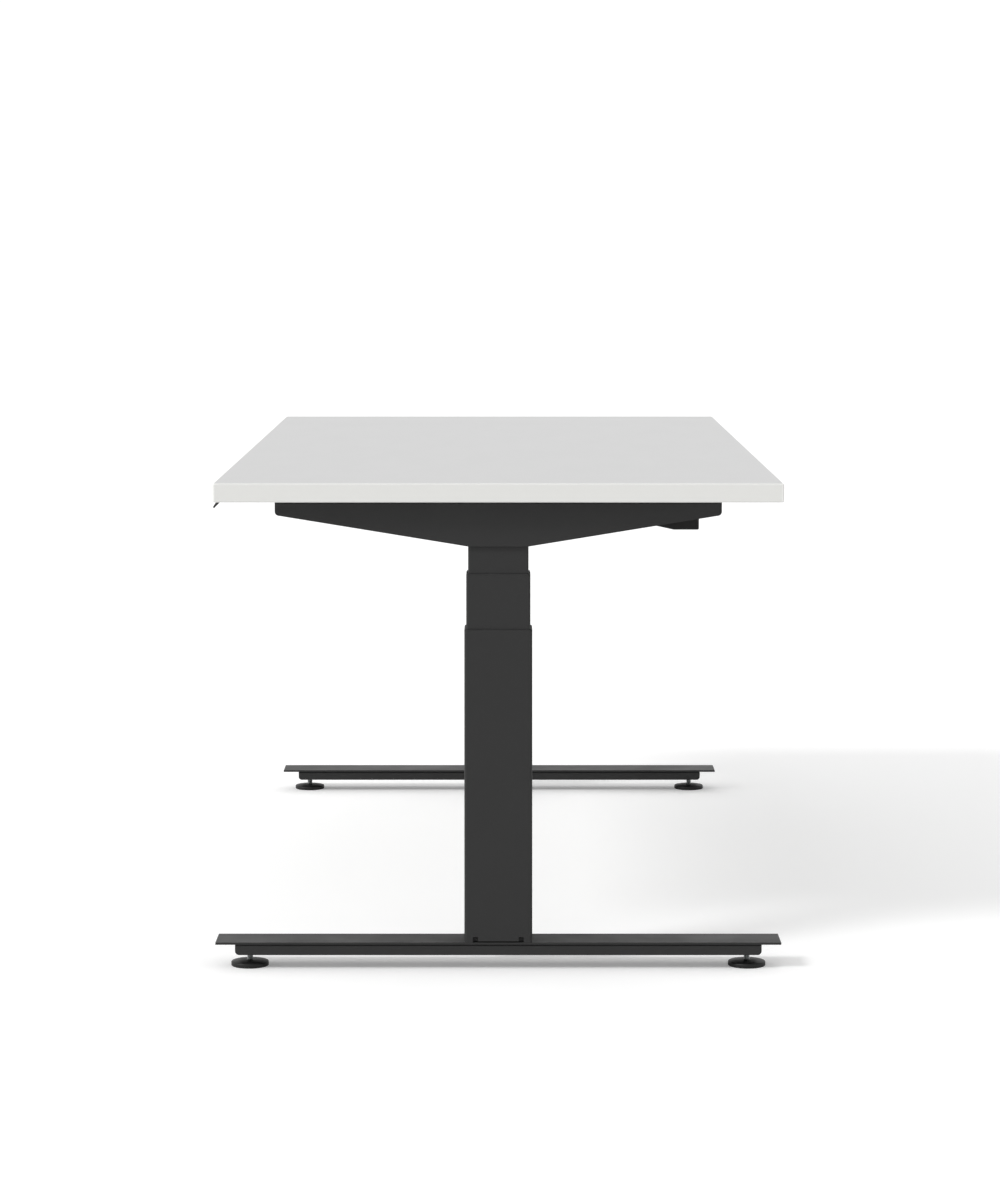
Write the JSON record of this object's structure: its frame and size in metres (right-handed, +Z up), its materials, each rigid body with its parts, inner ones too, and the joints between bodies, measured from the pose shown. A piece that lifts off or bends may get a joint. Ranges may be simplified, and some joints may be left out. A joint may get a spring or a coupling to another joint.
{
  "type": "height adjustable standing desk",
  "caption": "Electric sit-stand desk: white rectangular worktop on T-shaped legs with three-stage telescopic columns, screw glides and a paddle handset.",
  "frame": {"origin": "on the floor, under the middle of the worktop, halfway between the two columns", "axes": "+X along the desk towards the end with the handset and the control box, +Y towards the back edge, +Z up; the user sits on the -Y side"},
  "size_m": [1.6, 0.7586, 0.6475],
  "materials": {
    "white_laminate": "low-sheen melamine laminate on a pressed wood board",
    "white_edge_band": "plastic edge band, satin",
    "charcoal_steel": "charcoal powder coat, fine orange peel",
    "black_guide": "moulded acetal, matt",
    "drawn_steel": "machined and zinc-plated steel",
    "acetal_nut": "natural acetal",
    "motor_steel": "black painted steel",
    "glide_nylon": "turned black nylon, satin",
    "glide_steel": "zinc-plated threaded steel",
    "black_screw": "black oxide steel",
    "control_plastic": "moulded flame-retardant plastic, fine texture",
    "socket_plastic": "moulded nylon",
    "circuit_board": "glass-epoxy board",
    "handset_plastic": "moulded plastic, fine texture"
  },
  "bodies": {
    "base_left": {"outer_tube_left": "charcoal_steel", "outer_collar_left": "black_guide", "spindle_post_left": "motor_steel", "lower_nut_left": "acetal_nut", "foot_cover_plate_left": "charcoal_steel", "foot_channel_left": "charcoal_steel", "base_bolts_left": "black_screw"},
    "base_right": {"outer_tube_right": "charcoal_steel", "outer_collar_right": "black_guide", "spindle_post_right": "motor_steel", "lower_nut_right": "acetal_nut", "foot_cover_plate_right": "charcoal_steel", "foot_channel_right": "charcoal_steel", "base_bolts_right": "black_screw"},
    "middle_left": {"middle_tube_left": "charcoal_steel", "middle_collar_left": "black_guide", "middle_guide_left": "black_guide", "spindle_carrier_left": "drawn_steel", "upper_nut_left": "acetal_nut", "spindle_bearing_left": "drawn_steel"},
    "middle_right": {"middle_tube_right": "charcoal_steel", "middle_collar_right": "black_guide", "middle_guide_right": "black_guide", "spindle_carrier_right": "drawn_steel", "upper_nut_right": "acetal_nut", "spindle_bearing_right": "drawn_steel"},
    "desktop": {"worktop_board": "white_laminate", "worktop_edge_band": "white_edge_band", "rail_front": "charcoal_steel", "rail_rear": "charcoal_steel", "rail_fasteners": "glide_steel", "worktop_screws": "black_screw", "column_head_screws": "glide_steel", "control_box_housing": "control_plastic", "control_box_lid": "control_plastic", "control_circuit_board": "circuit_board", "control_box_sockets": "socket_plastic", "small_screws": "black_screw", "handset_housing": "handset_plastic", "handset_pivot_pin": "glide_steel", "inner_guides": "black_guide", "bracket_left": "charcoal_steel", "inner_tube_left": "charcoal_steel", "gear_motor_left": "motor_steel", "bracket_right": "charcoal_steel", "inner_tube_right": "charcoal_steel", "gear_motor_right": "motor_steel"},
    "paddle": {"handset_paddle": "handset_plastic"},
    "lower_screw_left": {"lower_spindle_left": "drawn_steel"},
    "upper_screw_left": {"upper_spindle_left": "drawn_steel"},
    "glide_left_front": {"glide_disc_left_front": "glide_nylon", "glide_stem_left_front": "glide_steel"},
    "glide_left_rear": {"glide_disc_left_rear": "glide_nylon", "glide_stem_left_rear": "glide_steel"},
    "lower_screw_right": {"lower_spindle_right": "drawn_steel"},
    "upper_screw_right": {"upper_spindle_right": "drawn_steel"},
    "glide_right_front": {"glide_disc_right_front": "glide_nylon", "glide_stem_right_front": "glide_steel"},
    "glide_right_rear": {"glide_disc_right_rear": "glide_nylon", "glide_stem_right_rear": "glide_steel"}
  },
  "joints": [
    {"name": "lift_left_lower", "type": "slide", "parent": "base_left", "child": "middle_left", "axis": [0, 0, 1], "range_m": [-0.02325, 0.30175]},
    {"name": "lift_left_upper", "type": "slide", "parent": "middle_left", "child": "desktop", "axis": [0, 0, 1], "range_m": [-0.02325, 0.30175]},
    {"name": "lift_right_upper", "type": "slide", "parent": "desktop", "child": "middle_right", "axis": [0, 0, -1], "range_m": [-0.02325, 0.30175]},
    {"name": "lift_right_lower", "type": "slide", "parent": "middle_right", "child": "base_right", "axis": [0, 0, -1], "range_m": [-0.02325, 0.30175]},
    {"name": "lower_screw_turn_left", "type": "hinge", "parent": "middle_left", "child": "lower_screw_left", "pos_m": [-0.74, 0, 0.4], "axis": [0, 0, 1], "range_deg": [-1679, 21731]},
    {"name": "upper_screw_turn_left", "type": "hinge", "parent": "desktop", "child": "upper_screw_left", "pos_m": [-0.74, 0, 0.4], "axis": [0, 0, 1], "range_deg": [-1679, 21731]},
    {"name": "glide_screw_left_front", "type": "slide", "parent": "base_left", "child": "glide_left_front", "axis": [0, 0, -1], "range_m": [-0.0025, 0.006]},
    {"name": "glide_screw_left_rear", "type": "slide", "parent": "base_left", "child": "glide_left_rear", "axis": [0, 0, -1], "range_m": [-0.0025, 0.006]},
    {"name": "lower_screw_turn_right", "type": "hinge", "parent": "middle_right", "child": "lower_screw_right", "pos_m": [0.74, 0, 0.4], "axis": [0, 0, 1], "range_deg": [-1679, 21731]},
    {"name": "upper_screw_turn_right", "type": "hinge", "parent": "desktop", "child": "upper_screw_right", "pos_m": [0.74, 0, 0.4], "axis": [0, 0, 1], "range_deg": [-1679, 21731]},
    {"name": "glide_screw_right_front", "type": "slide", "parent": "base_right", "child": "glide_right_front", "axis": [0, 0, -1], "range_m": [-0.0025, 0.006]},
    {"name": "glide_screw_right_rear", "type": "slide", "parent": "base_right", "child": "glide_right_rear", "axis": [0, 0, -1], "range_m": [-0.0025, 0.006]},
    {"name": "paddle_tip", "type": "hinge", "parent": "desktop", "child": "paddle", "pos_m": [0.635, -0.366, 0.6183], "axis": [1, 0, 0], "range_deg": [-4, 4], "stiffness_Nm_per_rad": 0.6}
  ],
  "couplings": [
    {"joint": "lift_left_upper", "follows": "lift_left_lower", "ratio": 1},
    {"joint": "lift_right_upper", "follows": "lift_left_lower", "ratio": 1},
    {"joint": "lift_right_lower", "follows": "lift_left_lower", "ratio": 1},
    {"joint": "lower_screw_turn_left", "follows": "lift_left_lower", "rad_per_m": 1256.6},
    {"joint": "upper_screw_turn_left", "follows": "lift_left_lower", "rad_per_m": 1256.6},
    {"joint": "lower_screw_turn_right", "follows": "lift_left_lower", "rad_per_m": 1256.6},
    {"joint": "upper_screw_turn_right", "follows": "lift_left_lower", "rad_per_m": 1256.6}
  ]
}
